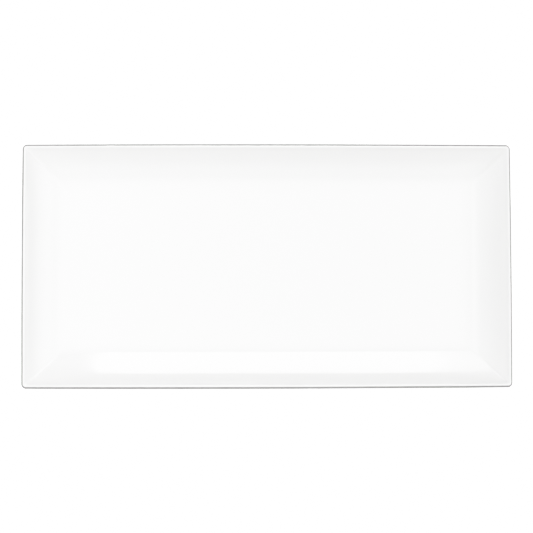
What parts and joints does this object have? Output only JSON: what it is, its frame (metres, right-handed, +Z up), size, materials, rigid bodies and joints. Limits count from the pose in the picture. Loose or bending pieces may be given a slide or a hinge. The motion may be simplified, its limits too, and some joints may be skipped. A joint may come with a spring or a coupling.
{
  "type": "rectangular serving platter",
  "caption": "Rectangular white porcelain serving platter with a shallow flat well, concave walls, a rounded rim and a rectangular foot ring.",
  "frame": {"origin": "under the centre of the platter, on the surface that its foot stands on", "axes": "+X along the length, +Y across the width, +Z up, out of the well"},
  "size_m": [0.3556, 0.1778, 0.0254],
  "materials": {
    "white_glaze": "glossy clear glaze over white porcelain",
    "biscuit_porcelain": "fired unglazed porcelain",
    "ground_foot": "bare porcelain, ground smooth where it stands"
  },
  "bodies": {
    "root": {"porcelain_body": "biscuit_porcelain", "foot_ring": "ground_foot", "face_glaze": "white_glaze", "underside_glaze": "white_glaze"}
  },
  "joints": []
}
